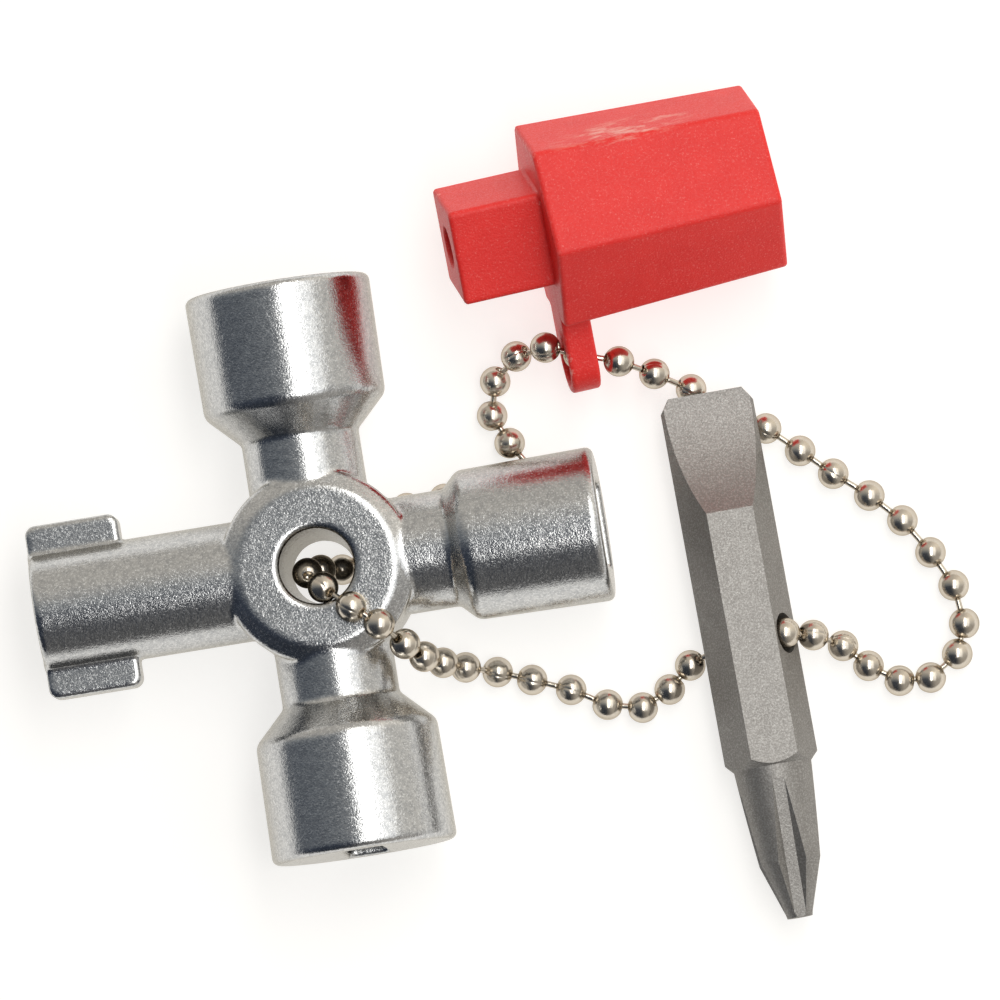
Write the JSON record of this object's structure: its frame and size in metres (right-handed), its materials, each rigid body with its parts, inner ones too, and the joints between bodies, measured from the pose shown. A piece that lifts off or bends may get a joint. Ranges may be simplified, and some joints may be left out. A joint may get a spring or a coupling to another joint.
{
  "type": "multi utility key",
  "caption": "Cast cross key with square, slotted and double-bit ends, on a ball chain with a moulded bit adapter and a double-ended bit.",
  "frame": {"origin": "the middle of the footprint of the laid out set, on the table", "axes": "+Z up from the table; +X to the right in the picture, the long way of the set; +Y up in the picture. The key's arms are turned 9 degrees from X and Y"},
  "size_m": [0.074, 0.0648, 0.0172],
  "materials": {
    "zinc": "die-cast zinc, tumbled and nickel plated, bright with a fine peened grain",
    "red_plastic": "moulded red plastic with a fine spark-eroded grain",
    "bit_steel": "blasted and phosphated grey steel",
    "nickel": "bright nickel plate"
  },
  "bodies": {
    "root": {"bead_01": "nickel", "bead_02": "nickel", "bead_03": "nickel", "bead_04": "nickel", "bead_05": "nickel", "bead_06": "nickel", "bead_07": "nickel", "bead_08": "nickel", "bead_09": "nickel", "bead_10": "nickel", "bead_11": "nickel", "bead_12": "nickel", "bead_13": "nickel", "bead_14": "nickel", "bead_15": "nickel", "bead_16": "nickel", "bead_17": "nickel", "bead_18": "nickel", "bead_19": "nickel", "bead_20": "nickel", "bead_21": "nickel", "bead_22": "nickel", "bead_23": "nickel", "bead_24": "nickel", "bead_25": "nickel", "bead_26": "nickel", "bead_27": "nickel", "bead_28": "nickel", "bead_29": "nickel", "bead_30": "nickel", "bead_31": "nickel", "bead_32": "nickel", "bead_33": "nickel", "bead_34": "nickel", "bead_35": "nickel", "bead_36": "nickel", "bead_37": "nickel", "bead_38": "nickel", "bead_39": "nickel", "bead_40": "nickel", "bead_41": "nickel", "bead_42": "nickel", "bead_43": "nickel", "bead_44": "nickel", "bead_45": "nickel", "bead_46": "nickel", "bead_47": "nickel", "bead_48": "nickel", "bead_49": "nickel", "bit_adapter": "red_plastic", "chain_coupling": "nickel", "cross_key": "zinc", "double_ended_bit": "bit_steel", "link_pins": "nickel"}
  },
  "joints": []
}
